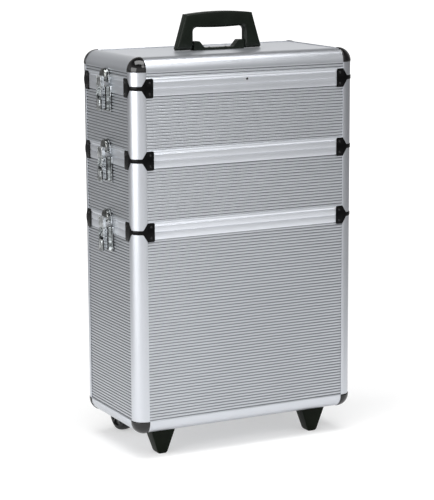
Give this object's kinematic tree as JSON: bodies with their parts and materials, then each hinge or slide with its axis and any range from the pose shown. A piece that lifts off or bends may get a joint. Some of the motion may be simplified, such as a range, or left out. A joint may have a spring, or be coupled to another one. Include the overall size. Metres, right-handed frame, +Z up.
{
  "type": "rolling aluminium case",
  "caption": "Upright aluminium case of stacked ribbed sections with black corners, side draw latches, a carry handle on the lid, rear wheels, front feet and a pull-out handle.",
  "frame": {"origin": "centre of the part's box, on the ground", "axes": "+X to the right seen from the front, +Y to the back, +Z up"},
  "size_m": [0.4614, 0.2498, 0.7625],
  "materials": {
    "lined_board": "fibre board with a black lining",
    "ribbed_sheet": "satin",
    "extrusion": "satin",
    "corner_plastic": "gloss",
    "bracket_black": "gloss",
    "rivet": "gloss",
    "latch_metal": "bright plated",
    "foot_plastic": "fine grain",
    "screw_steel": "plated",
    "wheel_rubber": "matte",
    "handle_plastic": "satin",
    "grip_plastic": "fine grain",
    "tube_metal": "satin"
  },
  "bodies": {
    "bottom": {"bottom_boards": "lined_board", "bottom_sheets": "ribbed_sheet", "bottom_posts": "extrusion", "bottom_edges": "extrusion", "bottom_rims": "extrusion", "bottom_ball_corners": "corner_plastic", "bottom_seam_brackets": "bracket_black", "bottom_rivets": "rivet", "bottom_latch_plates": "latch_metal", "feet": "foot_plastic", "base_screws": "screw_steel", "wheel_housings": "foot_plastic", "wheel_axles": "screw_steel", "pull_brackets": "grip_plastic", "pull_outer_tubes": "tube_metal"},
    "middle": {"middle_boards": "lined_board", "middle_sheets": "ribbed_sheet", "middle_posts": "extrusion", "middle_rims": "extrusion", "middle_seam_brackets": "bracket_black", "middle_rivets": "rivet", "middle_latch_plates": "latch_metal"},
    "top": {"top_boards": "lined_board", "top_sheets": "ribbed_sheet", "top_posts": "extrusion", "top_rims": "extrusion", "top_seam_brackets": "bracket_black", "top_rivets": "rivet", "top_latch_plates": "latch_metal"},
    "lid": {"lid_boards": "lined_board", "lid_sheets": "ribbed_sheet", "lid_posts": "extrusion", "lid_edges": "extrusion", "lid_rims": "extrusion", "lid_ball_corners": "corner_plastic", "lid_seam_brackets": "bracket_black", "lid_rivets": "rivet", "lid_latch_keepers": "latch_metal", "handle_base": "handle_plastic", "handle_pins": "screw_steel"},
    "carry_handle": {"carry_handle": "handle_plastic"},
    "wheel_left": {"wheel_left": "wheel_rubber"},
    "wheel_right": {"wheel_right": "wheel_rubber"},
    "pull_middle": {"pull_middle_tubes": "tube_metal"},
    "pull_grip": {"pull_inner_tubes": "tube_metal", "pull_grip": "grip_plastic"},
    "grip_button": {"grip_button": "grip_plastic"},
    "middle_lever_left": {"middle_latch_lever_left": "latch_metal"},
    "middle_hook_left": {"middle_latch_hook_left": "latch_metal"},
    "middle_lever_right": {"middle_latch_lever_right": "latch_metal"},
    "middle_hook_right": {"middle_latch_hook_right": "latch_metal"},
    "top_lever_left": {"top_latch_lever_left": "latch_metal"},
    "top_hook_left": {"top_latch_hook_left": "latch_metal"},
    "top_lever_right": {"top_latch_lever_right": "latch_metal"},
    "top_hook_right": {"top_latch_hook_right": "latch_metal"},
    "lid_lever_left": {"lid_latch_lever_left": "latch_metal"},
    "lid_hook_left": {"lid_latch_hook_left": "latch_metal"},
    "lid_lever_right": {"lid_latch_lever_right": "latch_metal"},
    "lid_hook_right": {"lid_latch_hook_right": "latch_metal"}
  },
  "joints": [
    {"name": "middle_lift", "type": "slide", "parent": "bottom", "child": "middle", "axis": [0, 0, 1], "range_m": [0, 0.2]},
    {"name": "top_lift", "type": "slide", "parent": "middle", "child": "top", "axis": [0, 0, 1], "range_m": [0, 0.2]},
    {"name": "lid_lift", "type": "slide", "parent": "top", "child": "lid", "axis": [0, 0, 1], "range_m": [0, 0.2]},
    {"name": "carry_handle_swing", "type": "hinge", "parent": "lid", "child": "carry_handle", "pos_m": [0, -0.01305, 0.7049], "axis": [1, 0, 0], "range_deg": [-90, 90]},
    {"name": "wheel_left_spin", "type": "hinge", "parent": "bottom", "child": "wheel_left", "pos_m": [-0.15, 0.08495, 0.034], "axis": [1, 0, 0], "continuous": true},
    {"name": "wheel_right_spin", "type": "hinge", "parent": "bottom", "child": "wheel_right", "pos_m": [0.15, 0.08495, 0.034], "axis": [1, 0, 0], "continuous": true},
    {"name": "pull_middle_slide", "type": "slide", "parent": "bottom", "child": "pull_middle", "axis": [0, 0, 1], "range_m": [0, 0.27]},
    {"name": "pull_grip_slide", "type": "slide", "parent": "pull_middle", "child": "pull_grip", "axis": [0, 0, 1], "range_m": [0, 0.27]},
    {"name": "grip_button_press", "type": "slide", "parent": "pull_grip", "child": "grip_button", "axis": [0, 0, -1], "range_m": [0, 0.003], "stiffness_N_per_m": 400, "springref_m": -0.002},
    {"name": "middle_lever_left_swing", "type": "hinge", "parent": "bottom", "child": "middle_lever_left", "pos_m": [-0.224, -0.01305, 0.3935], "axis": [0, 1, 0], "range_deg": [0, 110]},
    {"name": "middle_hook_left_swing", "type": "hinge", "parent": "middle_lever_left", "child": "middle_hook_left", "pos_m": [-0.224, -0.01305, 0.3825], "axis": [0, 1, 0], "range_deg": [-116, 0]},
    {"name": "middle_lever_right_swing", "type": "hinge", "parent": "bottom", "child": "middle_lever_right", "pos_m": [0.224, -0.01305, 0.3935], "axis": [0, -1, 0], "range_deg": [0, 110]},
    {"name": "middle_hook_right_swing", "type": "hinge", "parent": "middle_lever_right", "child": "middle_hook_right", "pos_m": [0.224, -0.01305, 0.3825], "axis": [0, -1, 0], "range_deg": [-116, 0]},
    {"name": "top_lever_left_swing", "type": "hinge", "parent": "middle", "child": "top_lever_left", "pos_m": [-0.224, -0.01305, 0.5155], "axis": [0, 1, 0], "range_deg": [0, 110]},
    {"name": "top_hook_left_swing", "type": "hinge", "parent": "top_lever_left", "child": "top_hook_left", "pos_m": [-0.224, -0.01305, 0.5045], "axis": [0, 1, 0], "range_deg": [-116, 0]},
    {"name": "top_lever_right_swing", "type": "hinge", "parent": "middle", "child": "top_lever_right", "pos_m": [0.224, -0.01305, 0.5155], "axis": [0, -1, 0], "range_deg": [0, 110]},
    {"name": "top_hook_right_swing", "type": "hinge", "parent": "top_lever_right", "child": "top_hook_right", "pos_m": [0.224, -0.01305, 0.5045], "axis": [0, -1, 0], "range_deg": [-116, 0]},
    {"name": "lid_lever_left_swing", "type": "hinge", "parent": "top", "child": "lid_lever_left", "pos_m": [-0.224, -0.01305, 0.6375], "axis": [0, 1, 0], "range_deg": [0, 110]},
    {"name": "lid_hook_left_swing", "type": "hinge", "parent": "lid_lever_left", "child": "lid_hook_left", "pos_m": [-0.224, -0.01305, 0.6265], "axis": [0, 1, 0], "range_deg": [-116, 0]},
    {"name": "lid_lever_right_swing", "type": "hinge", "parent": "top", "child": "lid_lever_right", "pos_m": [0.224, -0.01305, 0.6375], "axis": [0, -1, 0], "range_deg": [0, 110]},
    {"name": "lid_hook_right_swing", "type": "hinge", "parent": "lid_lever_right", "child": "lid_hook_right", "pos_m": [0.224, -0.01305, 0.6265], "axis": [0, -1, 0], "range_deg": [-116, 0]}
  ],
  "couplings": [
    {"joint": "middle_hook_left_swing", "follows": "middle_lever_left_swing", "ratio": -1.05},
    {"joint": "middle_hook_right_swing", "follows": "middle_lever_right_swing", "ratio": -1.05},
    {"joint": "top_hook_left_swing", "follows": "top_lever_left_swing", "ratio": -1.05},
    {"joint": "top_hook_right_swing", "follows": "top_lever_right_swing", "ratio": -1.05},
    {"joint": "lid_hook_left_swing", "follows": "lid_lever_left_swing", "ratio": -1.05},
    {"joint": "lid_hook_right_swing", "follows": "lid_lever_right_swing", "ratio": -1.05}
  ]
}
